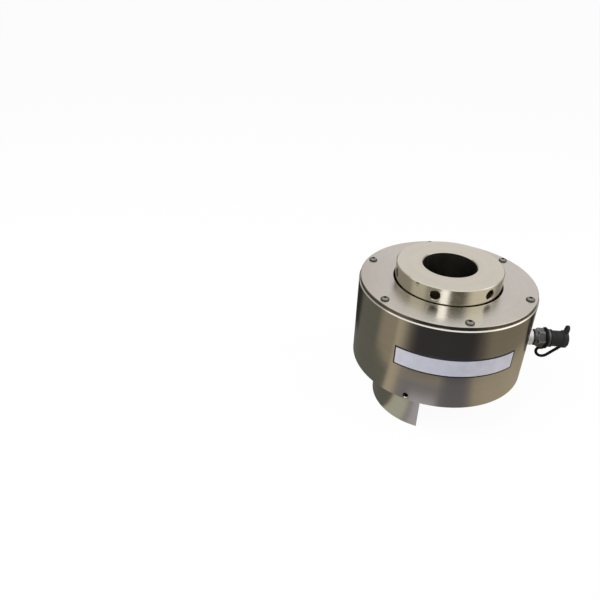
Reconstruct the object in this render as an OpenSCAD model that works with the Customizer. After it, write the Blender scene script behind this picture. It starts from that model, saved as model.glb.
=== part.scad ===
// Hydraulic bolt tensioner: a ring-shaped ram on a bridge, with a puller that screws onto the stud.
// Lengths are in millimetres. The stud axis is Z, the bridge stands on z = 0 and the oil port faces +X.

/* [Puller] */
// Thread diameter of the stud
stud_d = 64; // [56:1:72]
// Radial room round the stud above the thread
counterbore_gap = 1; // [0.6:0.1:3]
// Length of the thread in the puller
thread_len = 78; // [60:1:90]
// Wall of the puller's barrel outside the thread
barrel_wall = 18; // [14:0.5:22]
// Length of barrel that stands out below the piston
barrel_tail = 20.5; // [10:0.5:26]
// Width of the puller's head outside its barrel
head_lip = 15.5; // [10:0.5:18]
// Height of the puller's head above the cover plate
head_rise = 20.5; // [18:0.5:30]
// Chamfer on the head's outer edge
head_chamfer = 1; // [0.4:0.1:2]
// Chamfer at the mouths of the stud bore
bore_chamfer = 1.2; // [0.6:0.1:3]

/* [Tommy bar holes] */
// Number of tommy bar holes round the head
tommy_count = 6; // [3:1:8]
// Diameter of a tommy bar hole
tommy_d = 12; // [8:0.5:14]
// Depth of a tommy bar hole
tommy_depth = 18; // [10:1:24]
// Depth of the holes' axes below the head's top
tommy_drop = 10.3; // [8:0.1:11]
// Direction of the first tommy bar hole
tommy_az = -51.5; // [-180:0.5:180]

/* [Bridge] */
// Height of the bridge below the cylinder
bridge_h = 67; // [62:1:90]
// Height of the bridge inside the cylinder's recess
bridge_engage = 15; // [13:0.5:20]
// Room round the puller's barrel for the nut
nut_gap = 11; // [8:0.5:14]
// Wall of the bridge
bridge_wall = 16.8; // [12:0.2:20]
// Height of the window
window_h = 58; // [40:1:60]
// Angle that the window opens
window_angle = 110; // [60:5:130]
// Direction of the window's middle
window_az = -52; // [-180:1:180]
// Rounding of the window's upper corners
window_round = 8; // [4:0.5:12]
// Depth of the groove that the set screws run in
groove_depth = 3.5; // [2.5:0.1:5]
// Radial gap between the bridge and its recess
bridge_gap = 0.3; // [0.2:0.05:0.5]
// Chamfer on the bridge's edges and the recess's mouth
foot_chamfer = 0.8; // [0.4:0.1:2]

/* [Bridge set screws] */
// Number of set screws that hold the bridge
set_count = 3; // [2:1:4]
// Thread diameter of a set screw
set_d = 6; // [5:0.5:8]
// Length of a set screw's thread
set_len = 16; // [10:1:18]
// Diameter of a set screw's point
point_d = 4; // [3:0.1:4.6]
// Gap between a screw's point and the groove
point_gap = 0.5; // [0.3:0.1:0.8]
// Distance of a screw's shoulder outside the recess
shoulder_gap = 1; // [0.5:0.1:2]
// Height of the screws above the cylinder's lower edge
set_h = 5.75; // [4.5:0.25:8]
// Chamfer at the mouth of a set screw's hole
set_chamfer = 0.8; // [0.3:0.1:1]
// Direction of the first set screw
set_az = -115; // [-180:1:180]

/* [Cylinder] */
// Wall of the cylinder round its upper bore
body_wall = 22; // [19:0.5:30]
// Height of the oil chamber
chamber_h = 10; // [8:0.5:14]
// Radial width of the oil chamber
chamber_w = 8; // [5:0.5:12]
// Chamfer on the cylinder's lower edge
edge_chamfer = 0.4; // [0.2:0.1:1]
// Chamfer on the cylinder's upper edge
rim_chamfer = 1.1; // [0.4:0.1:1.2]

/* [Cover plate] */
// Thickness of the cover plate
plate_t = 5; // [4:0.25:8]
// Distance of the plate's edge inside the cylinder's
plate_inset = 1.5; // [1:0.1:3]
// Gap between the plate and the puller's head
plate_gap = 1.5; // [0.8:0.1:2.5]
// Chamfer on the plate's upper edges
plate_chamfer = 0.6; // [0.3:0.1:1.5]
// Chamfer under the plate's outer edge
plate_relief = 0.6; // [0.3:0.1:1]

/* [Cover screws] */
// Number of cover screws
cover_count = 6; // [4:1:12]
// Thread diameter of a cover screw
cover_d = 6; // [4:0.5:8]
// Length of a cover screw below its head
cover_len = 16; // [12:1:20]
// Diameter of a cover screw's head
cover_head_d = 10.5; // [9:0.5:14]
// Height of a cover screw's head
cover_head_h = 3.3; // [2.8:0.1:5]
// Height of the dome on a cover screw's head
cover_dome_h = 2.3; // [1.5:0.1:2.6]
// Depth of a cover screw's key socket
cover_socket_h = 2.1; // [1.5:0.1:2.5]
// Distance of the screw circle inside the cylinder's edge
cover_edge = 10; // [9:0.5:12]
// Direction of the first cover screw
cover_az = -83.3; // [-180:0.1:180]

/* [Piston] */
// Travel of the piston
stroke = 10; // [6:0.5:14]
// Wall of the piston's tail round the puller's barrel
tail_wall = 15.5; // [12:0.5:20]
// Width of the pressure face outside the tail
pressure_face = 22; // [19:0.5:28]
// Height of the piston above the oil chamber
piston_h = 58.2; // [52:0.1:70]
// Radial gap between the piston and the puller's barrel
barrel_gap = 0.5; // [0.3:0.05:1]
// Running gap between the piston and the cylinder's bores
fit_gap = 0.05; // [0.02:0.01:0.09]
// Room left at either end of the piston's travel
stop_gap = 0.5; // [0.3:0.1:1]
// Chamfer on the piston's upper edges
piston_chamfer = 1; // [0.5:0.1:2]

/* [Piston seals] */
// Depth of the seal grooves
seal_depth = 4.5; // [3:0.25:6]
// Height of the upper seal
seal_h = 4.5; // [3:0.25:6]
// Height of the upper backup ring
backup_h = 1.5; // [1:0.1:2]
// Height of the tail's seal
tail_seal_h = 3; // [2.5:0.1:5]
// Height of the tail's backup ring
tail_backup_h = 1.2; // [1:0.1:2]
// Height of the land between the oil chamber and the upper seal
seal_land = 3; // [2:0.5:4]
// Height of the land under the tail's seal
tail_land = 1.2; // [1:0.1:2]
// Height of the bore left above the tail's seal at full travel
bore_land = 0.6; // [0.4:0.1:2]
// Height of the wear ring
wear_h = 8; // [5:0.5:9]
// Thickness of the wear ring
wear_t = 2.5; // [1.5:0.1:3]
// Height of the land between the upper seal and the wear ring
wear_land = 5; // [3:0.5:7]

/* [Return springs] */
// Number of return springs
spring_count = 6; // [3:1:10]
// Outside diameter of a return spring
spring_d = 11; // [8:0.5:13]
// Wire diameter of a return spring
spring_wire = 1.6; // [1:0.1:2.2]
// Turns of a return spring
spring_turns = 6; // [4:1:8]
// Depth of a spring's pocket in the piston
pocket_depth = 30; // [24:1:32]
// Radial gap between a spring and its pocket
pocket_gap = 1; // [0.5:0.1:1.5]
// Gap at the ends of a spring
spring_end_gap = 0.1; // [0.05:0.05:0.5]

/* [Oil port] */
// Thread diameter of the port and its adaptor
port_d = 13.2; // [11:0.1:14]
// Length of the adaptor's thread
port_thread_len = 12; // [8:0.5:14]
// Diameter of the oil drilling
oil_d = 4; // [3:0.5:5]
// Depth of the spot face below the cylinder's surface
spot_depth = 1; // [0.9:0.1:2]
// Radial room round the adaptor in the spot face
spot_gap = 0.5; // [0.3:0.1:1]
// Diameter of the adaptor
adaptor_d = 21; // [20:0.5:24]
// Length of the adaptor outside the cylinder
adaptor_len = 11.8; // [11:0.1:20]
// Width of the port's seal ring
port_seal_w = 1.8; // [1.2:0.1:2.2]
// Thickness of the port's seal ring
port_seal_t = 1.4; // [1:0.1:2]

/* [Nipple] */
// Length of the nipple's thread
nipple_thread_len = 8; // [6:0.5:9]
// Thickness of the nipple's sealing washer
washer_t = 1.5; // [1:0.1:2]
// Width of the nipple's sealing washer
washer_w = 2.4; // [1.5:0.1:3.2]
// Diameter of the shoulder between the washer and the hex
shoulder_d = 21.5; // [19:0.5:21.5]
// Length of the shoulder
shoulder_len = 3.6; // [2:0.1:5]
// Width across the flats of the nipple's hex
hex_af = 22; // [22:1:24]
// Length of the hex
hex_len = 9.7; // [8:0.1:14]
// Chamfer on the hex's corners
hex_chamfer = 1.9; // [0.8:0.1:2.4]
// Turn of the hex about the nipple's axis
hex_turn = 26; // [0:1:60]
// Diameter of the neck behind the collar
neck_d = 17.2; // [15.5:0.1:18]
// Length of the neck
neck_len = 3.6; // [2.4:0.1:5]
// Diameter of the collar
collar_d = 23.5; // [19.5:0.5:24]
// Length of the collar
collar_len = 3.5; // [3:0.5:7]
// Diameter of the nose
nose_d = 16; // [14.5:0.5:17]
// Length of the nose
nose_len = 13.4; // [12:0.1:18]
// Distance of the locking groove from the collar
lock_inset = 3.5; // [2.5:0.1:5]
// Width of the locking groove round the nose
lock_w = 3; // [2:0.1:4]
// Depth of the locking groove
lock_depth = 1.2; // [0.6:0.1:1.6]
// Chamfer on turned edges of the nipple
nipple_chamfer = 0.7; // [0.3:0.1:1]

/* [Nipple valve] */
// Diameter of the valve's bore
valve_d = 9.2; // [8:0.1:9.6]
// Diameter of the valve's mouth
mouth_d = 5.2; // [4:0.1:6]
// Length of the valve's mouth
mouth_len = 4; // [3:0.5:5]
// Gap round the poppet
poppet_gap = 0.35; // [0.3:0.05:0.6]
// Length of the poppet's guide
guide_len = 8; // [6:0.5:9]
// Diameter of the poppet's stem
stem_d = 4; // [3:0.1:4.4]
// Length of the poppet's stem inside its spring
stem_len = 5; // [3:0.5:6]
// Length of the poppet's spring
poppet_spring_len = 18; // [14:0.5:20]
// Wire diameter of the poppet's spring
poppet_wire = 0.8; // [0.5:0.1:1]
// Turns of the poppet's spring
poppet_turns = 6; // [4:1:8]
// Thickness of the spring's retainer
retainer_t = 3; // [2:0.5:4]

/* [Dust cap] */
// Gap between the dust cap and the nose
cap_gap = 0.3; // [0.2:0.05:0.5]
// Wall of the dust cap
cap_wall = 2.1; // [1.5:0.1:3]
// Height of the bead round the cap's mouth
bead_h = 1.3; // [0.4:0.1:1.6]
// Length of the bead round the cap's mouth
bead_len = 2; // [1:0.1:3]
// Solid end of the dust cap
cap_end_t = 9; // [8:0.5:12]
// Height of the rim round the cap's end
rim_h = 1.1; // [0.8:0.1:2]
// Length of the rim round the cap's end
rim_len = 6.4; // [5:0.1:7]
// Rounding of the cap's end
cap_round = 2; // [1:0.1:2.4]
// Height of the pull tab above the nipple's axis
tab_h = 20.5; // [16:0.5:24]
// Width of the pull tab
tab_w = 9; // [6:0.5:12]
// Thickness of the pull tab at its tip
tab_t = 2.6; // [2:0.1:3.6]
// Thickness of the pull tab at its root
tab_root_t = 5; // [4:0.1:6]

/* [Tether] */
// Outside diameter of the tether's ring
ring_d = 28; // [27:0.5:30]
// Side play of the ring in the neck
ring_play = 0.2; // [0.1:0.05:0.4]
// Radial gap between the ring and the neck
ring_gap = 0.3; // [0.2:0.05:0.5]
// Diameter of the tether
strap_d = 3.8; // [2:0.1:4]
// Radius of the tether's loop behind its ring
loop_r = 4.6; // [4:0.1:6]
// Radius of the tether's sag under the nipple
sag_r = 8.6; // [7:0.1:10]

/* [Fasteners] */
// Radial gap round a threaded shank
thread_gap = 0.05; // [0.03:0.01:0.1]
// Radial room round a screw's shank in the plate
shank_gap = 0.3; // [0.2:0.1:0.5]
// Width across the flats of a screw's key socket, as a share of its thread
socket_share = 0.6; // [0.5:0.05:0.66]
// Depth of the holes below the screws' ends
drill_room = 1.5; // [1:0.5:3]

/* [Hidden] */
$fn = 96;
// Overrun of a cut past the face that it opens, and overlap of pieces that are joined
over = 1;
// Steps in a turn of a coil spring
coil_steps = 8;
// Largest angle between the rings of a bent tether
strap_step = 15;

// Radii from the stud outwards
thread_r = stud_d / 2;
counterbore_r = thread_r + counterbore_gap;
barrel_r = thread_r + barrel_wall;
head_r = barrel_r + head_lip;
plate_hole_r = head_r + plate_gap;
piston_bore_r = barrel_r + barrel_gap;
tail_r = piston_bore_r + tail_wall;
piston_r = tail_r + pressure_face;
chamber_r = piston_r - chamber_w;
tail_bore_r = tail_r + fit_gap;
upper_bore_r = piston_r + fit_gap;
body_r = piston_r + body_wall;
plate_r = body_r - plate_inset;
cover_r = body_r - cover_edge;
bridge_bore_r = barrel_r + nut_gap;
bridge_r = bridge_bore_r + bridge_wall;
recess_r = bridge_r + bridge_gap;
spring_circle_r = (plate_hole_r + piston_r) / 2;

// Heights from the foot upwards
body_z = bridge_h;
groove_z = body_z + set_h;
seat_z = body_z + bridge_engage;
tail_z = seat_z + stop_gap;
tail_groove_z = tail_z + tail_land;
tail_groove_h = tail_seal_h + tail_backup_h;
step_z = tail_groove_z + tail_groove_h + stroke + bore_land;
port_z = step_z + chamber_h / 2;
land_z = step_z + chamber_h;
seal_groove_z = land_z + seal_land;
seal_groove_h = seal_h + backup_h;
wear_z = seal_groove_z + seal_groove_h + wear_land;
piston_z = land_z + piston_h;
top_z = piston_z + stroke + stop_gap;
plate_z = top_z + plate_t;
head_z = plate_z + head_rise;
barrel_z = tail_z - barrel_tail;
thread_z = barrel_z + thread_len;
pocket_z = piston_z - pocket_depth;

// Distances along the oil port, from the stud axis outwards
port_x = body_r - spot_depth;
adaptor_x = port_x + adaptor_len;
shoulder_x = adaptor_x + washer_t;
hex_x = shoulder_x + shoulder_len;
neck_x = hex_x + hex_len;
collar_x = neck_x + neck_len;
nose_x = collar_x + collar_len;
tip_x = nose_x + nose_len;
mouth_x = tip_x - mouth_len;
valve_seat_x = mouth_x - (valve_d - mouth_d) / 2;
guide_x = valve_seat_x - poppet_gap - guide_len;
retainer_x = guide_x - poppet_spring_len - retainer_t;
cap_x = nose_x + cap_gap;
cavity_x = tip_x + cap_gap;
cap_end_x = cavity_x + cap_end_t;
rim_x = cap_end_x - rim_len;
ring_x = neck_x + ring_play;

// Radii round the oil port's axis
port_hole_r = port_d / 2 + thread_gap;
shoulder_r = shoulder_d / 2;
hex_corner_r = hex_af / 2 / cos(30);
valve_r = valve_d / 2;
mouth_r = mouth_d / 2;
poppet_r = valve_r - poppet_gap;
pin_r = mouth_r - poppet_gap;
poppet_coil_r = (stem_d / 2 + valve_r) / 2;
nose_r = nose_d / 2;
cavity_r = nose_r + cap_gap;
cap_r = cavity_r + cap_wall;
bead_r = cap_r + bead_h;
rim_r = cap_r + rim_h;
ring_r = ring_d / 2;
ring_bore_r = neck_d / 2 + ring_gap;
ring_t = neck_len - 2 * ring_play;

// Route of the tether in the plane below the nipple: a loop from the ring, a wider sag, a tangent to the cap
strap_drop = ring_r + strap_d / 2;
loop_drop = strap_drop + loop_r;
sag_x = ring_x + sag_r - loop_r;
strap_end_x = rim_x - strap_d / 2;
strap_end_drop = rim_r + strap_d;
strap_run = norm([strap_end_x - sag_x, loop_drop - strap_end_drop]);
tangent_az = atan2(loop_drop - strap_end_drop, strap_end_x - sag_x) - acos(sag_r / strap_run);
strap_slope = tangent_az + 90;

steel = "#b9b0a2";
polished = "#cfc8ba";
dark_steel = "#4a4a4a";
black_rubber = "#161616";
seal_colour = "#2d4a3a";
bronze = "#8c6b3c";

// Solid of revolution about Z from [radius, height] points
module revolve(outline) {
    rotate_extrude()
        polygon(outline);
}

// Plain ring about Z
module ring(inner_r, outer_r, z, h) {
    rotate_extrude()
        translate([inner_r, z])
            square([outer_r - inner_r, h]);
}

// Lip seal about Z, with its notch towards the oil: up when side is 1, down when it is -1
module lip_seal(inner_r, outer_r, z, h, side) {
    mid_r = (inner_r + outer_r) / 2;
    notch = (outer_r - inner_r) / 4;
    open_z = side > 0 ? z + h : z;
    back_z = side > 0 ? z : z + h;
    revolve([
        [inner_r, back_z], [outer_r, back_z], [outer_r, open_z],
        [mid_r + notch, open_z], [mid_r, open_z - side * h / 2], [mid_r - notch, open_z], [inner_r, open_z]
    ]);
}

// Hole along Z from a flat floor to a face, with a chamfered mouth
module chamfered_hole(hole_r, floor_z, face_z, chamfer) {
    revolve([
        [0, floor_z], [hole_r, floor_z], [hole_r, face_z - chamfer],
        [hole_r + chamfer + over, face_z + over], [0, face_z + over]
    ]);
}

// Copies placed evenly round the stud axis
module round_stud(count, first_az) {
    for (i = [0 : count - 1])
        rotate([0, 0, first_az + i * 360 / count])
            children();
}

// Turns a shape built along Z to lie along X at a height
module along_x(z) {
    translate([0, 0, z])
        rotate([0, 90, 0])
            children();
}

// Six-sided prism along Z
module hex_prism(flats, z, h) {
    translate([0, 0, z])
        cylinder(r = flats / 2 / cos(30), h = h, $fn = 6);
}

// Tube swept along a route, from its rings of points in order
module tube(rings) {
    sides = len(rings[0]);
    last = len(rings) - 1;
    walls = [
        for (i = [0 : last - 1], k = [0 : sides - 1])
            let (a = i * sides + k, b = i * sides + (k + 1) % sides)
            each [[a, b, b + sides], [a, b + sides, a + sides]]
    ];
    first_end = [for (k = [sides - 1 : -1 : 0]) k];
    last_end = [for (k = [0 : sides - 1]) last * sides + k];
    polyhedron([for (points = rings) each points], concat(walls, [first_end, last_end]));
}

// Coil spring about Z, of six-sided wire
module coil(coil_r, wire, length, turns) {
    steps = coil_steps * turns;
    tube([
        for (i = [0 : steps])
            let (turn = 360 * turns * i / steps, mid_z = wire / 2 + (length - wire) * i / steps)
            [
                for (corner = [0 : 60 : 300])
                    let (r = coil_r + wire / 2 * cos(corner))
                    [r * cos(turn), r * sin(turn), mid_z + wire / 2 * sin(corner)]
            ]
    ]);
}

module bridge() {
    half_w = point_d / 2 + point_gap;
    color(steel)
        difference() {
            revolve([
                [bridge_bore_r + foot_chamfer, 0], [bridge_r - foot_chamfer, 0], [bridge_r, foot_chamfer],
                [bridge_r, groove_z - half_w], [bridge_r - groove_depth, groove_z - half_w],
                [bridge_r - groove_depth, groove_z + half_w], [bridge_r, groove_z + half_w],
                [bridge_r, seat_z - foot_chamfer], [bridge_r - foot_chamfer, seat_z],
                [bridge_bore_r + foot_chamfer, seat_z], [bridge_bore_r, seat_z - foot_chamfer],
                [bridge_bore_r, foot_chamfer]
            ]);
            window_cut();
        }
}

// Window through the bridge's wall, with corners as round as the cutter that mills it
module window_cut() {
    corner_az = window_angle / 2 - asin(window_round / bridge_r);
    cut_depth = bridge_wall + 2 * over;
    rotate([0, 0, window_az - corner_az])
        rotate_extrude(angle = 2 * corner_az)
            translate([bridge_bore_r - over, -over])
                square([cut_depth, window_h + over]);
    for (side = [-1, 1])
        rotate([0, 0, window_az + side * corner_az]) {
            translate([bridge_bore_r - over, -window_round, -over])
                cube([cut_depth, 2 * window_round, window_h - window_round + over]);
            along_x(window_h - window_round)
                translate([0, 0, bridge_bore_r - over])
                    cylinder(r = window_round, h = cut_depth);
        }
}

module cylinder_body() {
    color(steel)
        difference() {
            revolve([
                [recess_r + foot_chamfer, body_z], [body_r - edge_chamfer, body_z],
                [body_r, body_z + edge_chamfer], [body_r, top_z - rim_chamfer],
                [body_r - rim_chamfer, top_z], [upper_bore_r, top_z], [upper_bore_r, step_z],
                [tail_bore_r, step_z], [tail_bore_r, seat_z], [recess_r, seat_z],
                [recess_r, body_z + foot_chamfer]
            ]);
            round_stud(set_count, set_az)
                along_x(groove_z)
                    chamfered_hole(set_d / 2 + thread_gap, recess_r - over, body_r, set_chamfer);
            round_stud(cover_count, cover_az)
                translate([cover_r, 0, plate_z - cover_len - drill_room])
                    cylinder(r = cover_d / 2 + thread_gap, h = cover_len + drill_room);
            port_cuts();
        }
}

// Spot face, seal seat, thread and drilling of the oil port
module port_cuts() {
    along_x(port_z) {
        translate([0, 0, port_x])
            cylinder(r = adaptor_d / 2 + spot_gap, h = spot_depth + over);
        translate([0, 0, port_x - port_seal_t])
            cylinder(r = port_hole_r + port_seal_w, h = port_seal_t + over);
        translate([0, 0, port_x - port_thread_len - drill_room])
            cylinder(r = port_hole_r, h = port_thread_len + drill_room + over);
        translate([0, 0, chamber_r])
            cylinder(d = oil_d, h = port_x - chamber_r);
    }
}

module cover_plate() {
    color(polished)
        difference() {
            revolve([
                [plate_hole_r, top_z], [plate_r - plate_relief, top_z], [plate_r, top_z + plate_relief],
                [plate_r, plate_z - plate_chamfer], [plate_r - plate_chamfer, plate_z],
                [plate_hole_r + plate_chamfer, plate_z], [plate_hole_r, plate_z - plate_chamfer]
            ]);
            round_stud(cover_count, cover_az)
                translate([cover_r, 0, top_z - over])
                    cylinder(r = cover_d / 2 + shank_gap, h = plate_t + 2 * over);
        }
}

// Domed socket screw about Z, with its head on z = 0
module button_screw() {
    button_r = cover_head_d / 2;
    dome_r = (button_r * button_r + cover_dome_h * cover_dome_h) / (2 * cover_dome_h);
    difference() {
        union() {
            intersection() {
                cylinder(r = button_r, h = cover_head_h);
                translate([0, 0, cover_head_h - dome_r])
                    sphere(r = dome_r);
            }
            translate([0, 0, -cover_len])
                cylinder(d = cover_d, h = cover_len + cover_head_h - cover_dome_h);
        }
        hex_prism(cover_d * socket_share, cover_head_h - cover_socket_h, cover_head_h);
    }
}

module cover_screws() {
    color(dark_steel)
        round_stud(cover_count, cover_az)
            translate([cover_r, 0, plate_z])
                button_screw();
}

module bridge_set_screws() {
    point_x = bridge_r - groove_depth + point_gap;
    step_x = recess_r + shoulder_gap;
    color(dark_steel)
        round_stud(set_count, set_az)
            along_x(groove_z)
                difference() {
                    revolve([
                        [0, point_x], [point_d / 2, point_x], [point_d / 2, step_x], [set_d / 2, step_x],
                        [set_d / 2, step_x + set_len], [0, step_x + set_len]
                    ]);
                    hex_prism(set_d * socket_share, step_x + set_len / 2, set_len);
                }
}

module piston() {
    seal_r = piston_r - seal_depth;
    wear_r = piston_r - wear_t;
    tail_seal_r = tail_r - seal_depth;
    color(steel)
        difference() {
            revolve([
                [piston_bore_r, tail_z], [tail_r, tail_z],
                [tail_r, tail_groove_z], [tail_seal_r, tail_groove_z],
                [tail_seal_r, tail_groove_z + tail_groove_h], [tail_r, tail_groove_z + tail_groove_h],
                [tail_r, step_z], [chamber_r, step_z], [chamber_r, land_z], [piston_r, land_z],
                [piston_r, seal_groove_z], [seal_r, seal_groove_z],
                [seal_r, seal_groove_z + seal_groove_h], [piston_r, seal_groove_z + seal_groove_h],
                [piston_r, wear_z], [wear_r, wear_z], [wear_r, wear_z + wear_h], [piston_r, wear_z + wear_h],
                [piston_r, piston_z - piston_chamfer], [piston_r - piston_chamfer, piston_z],
                [piston_bore_r + piston_chamfer, piston_z], [piston_bore_r, piston_z - piston_chamfer]
            ]);
            round_stud(spring_count, cover_az)
                translate([spring_circle_r, 0, pocket_z])
                    cylinder(r = spring_d / 2 + pocket_gap, h = pocket_depth + over);
        }
}

module upper_seal() {
    color(seal_colour)
        lip_seal(piston_r - seal_depth, piston_r, seal_groove_z, seal_h, -1);
}

module upper_backup_ring() {
    color("ivory")
        ring(piston_r - seal_depth, piston_r, seal_groove_z + seal_h, backup_h);
}

module wear_ring() {
    color(bronze)
        ring(piston_r - wear_t, piston_r, wear_z, wear_h);
}

module tail_seal() {
    color(seal_colour)
        lip_seal(tail_r - seal_depth, tail_r, tail_groove_z + tail_backup_h, tail_seal_h, 1);
}

module tail_backup_ring() {
    color("ivory")
        ring(tail_r - seal_depth, tail_r, tail_groove_z, tail_backup_h);
}

module return_springs() {
    spring_len = top_z - pocket_z - 2 * spring_end_gap;
    color(dark_steel)
        round_stud(spring_count, cover_az)
            translate([spring_circle_r, 0, pocket_z + spring_end_gap])
                coil((spring_d - spring_wire) / 2, spring_wire, spring_len, spring_turns);
}

module puller() {
    color(polished)
        difference() {
            revolve([
                [thread_r + bore_chamfer, barrel_z], [barrel_r - head_chamfer, barrel_z],
                [barrel_r, barrel_z + head_chamfer], [barrel_r, piston_z], [head_r, piston_z],
                [head_r, head_z - head_chamfer], [head_r - head_chamfer, head_z],
                [counterbore_r + bore_chamfer, head_z], [counterbore_r, head_z - bore_chamfer],
                [counterbore_r, thread_z], [thread_r, thread_z], [thread_r, barrel_z + bore_chamfer]
            ]);
            round_stud(tommy_count, tommy_az)
                along_x(head_z - tommy_drop)
                    translate([0, 0, head_r - tommy_depth])
                        cylinder(d = tommy_d, h = tommy_depth + over);
        }
}

module port_adaptor() {
    thread_x = port_x - port_thread_len;
    color(polished)
        along_x(port_z)
            difference() {
                revolve([
                    [0, thread_x], [port_d / 2, thread_x], [port_d / 2, port_x],
                    [adaptor_d / 2, port_x], [adaptor_d / 2, adaptor_x - nipple_chamfer],
                    [adaptor_d / 2 - nipple_chamfer, adaptor_x], [0, adaptor_x]
                ]);
                translate([0, 0, adaptor_x - nipple_thread_len - drill_room])
                    cylinder(r = port_hole_r, h = nipple_thread_len + drill_room + over);
                translate([0, 0, thread_x - over])
                    cylinder(d = oil_d, h = port_thread_len + adaptor_len);
            }
}

module port_seal() {
    color(black_rubber)
        along_x(port_z)
            ring(port_hole_r, port_hole_r + port_seal_w, port_x - port_seal_t, port_seal_t);
}

module nipple_washer() {
    color(black_rubber)
        along_x(port_z)
            ring(port_hole_r, port_hole_r + washer_w, adaptor_x, washer_t);
}

module nipple() {
    thread_x = adaptor_x - nipple_thread_len;
    lock_x = nose_x + lock_inset;
    color(dark_steel)
        along_x(port_z)
            difference() {
                union() {
                    intersection() {
                        rotate([0, 0, hex_turn])
                            hex_prism(hex_af, hex_x, hex_len);
                        revolve([
                            [0, hex_x], [hex_corner_r - hex_chamfer, hex_x],
                            [hex_corner_r, hex_x + hex_chamfer], [hex_corner_r, neck_x - nipple_chamfer],
                            [hex_corner_r - nipple_chamfer, neck_x], [0, neck_x]
                        ]);
                    }
                    revolve([
                        [0, thread_x], [port_d / 2, thread_x], [port_d / 2, shoulder_x],
                        [shoulder_r - nipple_chamfer, shoulder_x], [shoulder_r, shoulder_x + nipple_chamfer],
                        [shoulder_r, hex_x + over], [neck_d / 2, neck_x - over], [neck_d / 2, collar_x],
                        [collar_d / 2 - nipple_chamfer, collar_x], [collar_d / 2, collar_x + nipple_chamfer],
                        [collar_d / 2, nose_x - nipple_chamfer], [collar_d / 2 - nipple_chamfer, nose_x],
                        [nose_r, nose_x], [nose_r, lock_x], [nose_r - lock_depth, lock_x],
                        [nose_r - lock_depth, lock_x + lock_w], [nose_r, lock_x + lock_w],
                        [nose_r, tip_x - nipple_chamfer], [nose_r - nipple_chamfer, tip_x], [0, tip_x]
                    ]);
                }
                revolve([
                    [0, thread_x - over], [valve_r, thread_x - over], [valve_r, valve_seat_x],
                    [mouth_r, mouth_x], [mouth_r, tip_x + over], [0, tip_x + over]
                ]);
            }
}

module poppet() {
    cone_x = guide_x + guide_len;
    color(bronze)
        along_x(port_z)
            revolve([
                [0, guide_x - stem_len], [stem_d / 2, guide_x - stem_len], [stem_d / 2, guide_x],
                [poppet_r, guide_x], [poppet_r, cone_x], [pin_r, cone_x + poppet_r - pin_r],
                [pin_r, tip_x - poppet_gap], [0, tip_x - poppet_gap]
            ]);
}

module poppet_spring() {
    color(dark_steel)
        along_x(port_z)
            translate([0, 0, guide_x - poppet_spring_len + spring_end_gap])
                coil(poppet_coil_r, poppet_wire, poppet_spring_len - 2 * spring_end_gap, poppet_turns);
}

module spring_retainer() {
    color(dark_steel)
        along_x(port_z)
            ring(oil_d / 2, valve_r - thread_gap, retainer_x, retainer_t);
}

module tether_ring() {
    edge = ring_t / 4;
    color(black_rubber)
        along_x(port_z) {
            revolve([
                [ring_bore_r, ring_x], [ring_r - edge, ring_x], [ring_r, ring_x + edge],
                [ring_r, ring_x + ring_t - edge], [ring_r - edge, ring_x + ring_t],
                [ring_bore_r, ring_x + ring_t]
            ]);
            translate([strap_drop, 0, ring_x])
                cylinder(d = strap_d, h = ring_t);
            translate([ring_bore_r + edge, -strap_d / 2, ring_x])
                cube([strap_drop - ring_bore_r - edge, strap_d, ring_t]);
        }
}

// Moves into the plane below the nipple, with X outwards and Y upwards
module strap_plane() {
    translate([0, 0, port_z])
        rotate([90, 0, 0])
            children();
}

// Ring of points round the tether, square to its route, with outward the direction away from the loop
function strap_ring(centre, outward) = [
    for (corner = [0 : 45 : 315])
        let (reach = strap_d / 2 * cos(corner))
        [centre.x + reach * cos(outward), centre.y + reach * sin(outward), strap_d / 2 * sin(corner)]
];

// Rings of the tether along an arc of its route, without the arc's first point
function strap_arc(centre, radius, from, to) =
    let (steps = ceil((to - from) / strap_step))
    [
        for (i = [1 : steps])
            let (turn = from + (to - from) * i / steps)
            strap_ring(centre + radius * [cos(turn), sin(turn)], turn)
    ];

module tether() {
    sag_end = 360 + tangent_az;
    color(black_rubber)
        strap_plane()
            tube(concat(
                [strap_ring([ring_x, -strap_drop], 90)],
                strap_arc([ring_x, -loop_drop], loop_r, 90, 180),
                strap_arc([sag_x, -loop_drop], sag_r, 180, sag_end),
                [strap_ring([strap_end_x, -strap_end_drop], sag_end)]
            ));
}

// Tapered tongue with a rounded tip, standing up from the cap's end
module pull_tab() {
    tip_r = tab_w / 2;
    root_x = cap_end_x - tab_root_t;
    intersection() {
        translate([0, tab_w / 2, port_z])
            rotate([90, 0, 0])
                linear_extrude(tab_w)
                    polygon([
                        [root_x, 0], [cap_end_x - cap_round, 0], [cap_end_x - cap_round / 2, tab_h],
                        [cap_end_x - cap_round / 2 - tab_t, tab_h], [root_x, rim_r]
                    ]);
        along_x(port_z)
            union() {
                translate([-(tab_h - tip_r), 0, root_x])
                    cylinder(r = tip_r, h = tab_root_t);
                translate([-(tab_h - tip_r), -tip_r, root_x])
                    cube([tab_h - tip_r, tab_w, tab_root_t]);
            }
    }
}

module dust_cap() {
    color(black_rubber) {
        along_x(port_z)
            revolve([
                [cavity_r, cap_x], [bead_r, cap_x], [bead_r, cap_x + bead_len],
                [cap_r, cap_x + bead_len + bead_h], [cap_r, rim_x - rim_h], [rim_r, rim_x],
                [rim_r, cap_end_x - cap_round], [rim_r - cap_round, cap_end_x], [0, cap_end_x],
                [0, cavity_x], [cavity_r, cavity_x]
            ]);
        pull_tab();
        strap_plane()
            translate([strap_end_x, -strap_end_drop, 0])
                rotate([0, 0, strap_slope])
                    rotate([0, 90, 0])
                        cylinder(d = strap_d, h = 2 * strap_d);
    }
}

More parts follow.
